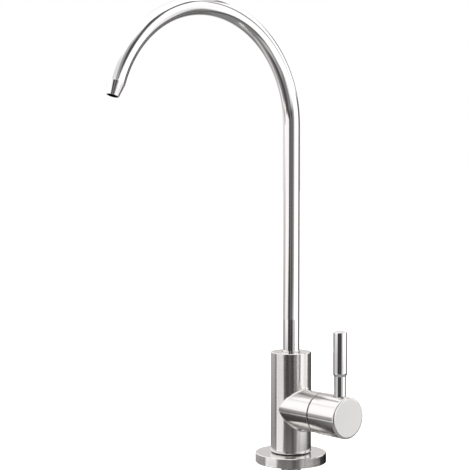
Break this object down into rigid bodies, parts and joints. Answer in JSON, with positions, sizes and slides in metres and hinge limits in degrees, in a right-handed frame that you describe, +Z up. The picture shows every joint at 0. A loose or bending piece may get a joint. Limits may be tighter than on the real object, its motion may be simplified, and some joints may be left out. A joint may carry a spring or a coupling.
{
  "type": "drinking water filter tap",
  "caption": "Slim countertop filter tap with a tall swivelling gooseneck spout and a quarter-turn side lever over a round flange.",
  "frame": {"origin": "centre of the underside of the base flange, on the axis of the column, at worktop level", "axes": "+Z up along the column; -Y forwards, where the spout reaches; +X along the valve branch, to the lever"},
  "size_m": [0.069, 0.1516, 0.3463],
  "materials": {
    "satin_steel": "satin brushed",
    "polished_steel": "polished",
    "machined_steel": "machined",
    "spring_steel": "dark",
    "brass": "machined",
    "white_ceramic": "lapped",
    "black_rubber": "moulded",
    "white_plastic": "moulded",
    "black_plastic": "moulded",
    "blue_plastic": "moulded"
  },
  "bodies": {
    "base": {"base_flange": "satin_steel", "flange_seal": "black_rubber", "column_foot_ring": "black_rubber", "tap_body": "satin_steel", "threaded_shank": "machined_steel", "shank_seal": "black_rubber", "valve_base_seal": "black_rubber", "fixed_ceramic_disc": "white_ceramic", "valve_insert": "brass", "insert_gasket": "black_rubber", "thrust_washer": "white_plastic", "seam_ring": "black_plastic", "gland_nut": "satin_steel", "spout_bush": "black_plastic", "inlet_body": "white_plastic", "inlet_seal": "black_rubber", "tube_ring": "black_rubber", "collet_retainer": "white_plastic"},
    "spout": {"spout_tube": "polished_steel", "spout_spigot": "machined_steel", "spigot_rings": "black_rubber", "slip_washer": "white_plastic"},
    "handle": {"handle_cap": "satin_steel", "lever": "polished_steel", "cap_grub_screw": "spring_steel", "valve_spindle": "brass", "turning_ceramic_disc": "white_ceramic", "spindle_rings": "black_rubber", "spindle_clip": "spring_steel"},
    "clamp": {"rubber_washer": "black_rubber", "steel_washer": "machined_steel", "spring_washer": "machined_steel", "mounting_nut": "machined_steel"},
    "collet": {"release_collet": "blue_plastic"}
  },
  "joints": [
    {"name": "spout_swivel", "type": "hinge", "parent": "base", "child": "spout", "pos_m": [0, 0, 0.0655], "axis": [0, 0, 1], "continuous": true},
    {"name": "handle_turn", "type": "hinge", "parent": "base", "child": "handle", "pos_m": [0.026, 0, 0.0325], "axis": [1, 0, 0], "range_deg": [0, 90]},
    {"name": "clamp_travel", "type": "slide", "parent": "base", "child": "clamp", "axis": [0, 0, 1], "range_m": [-0.011, 0.018]},
    {"name": "collet_press", "type": "slide", "parent": "base", "child": "collet", "axis": [0, 0, 1], "range_m": [0, 0.0015]}
  ]
}
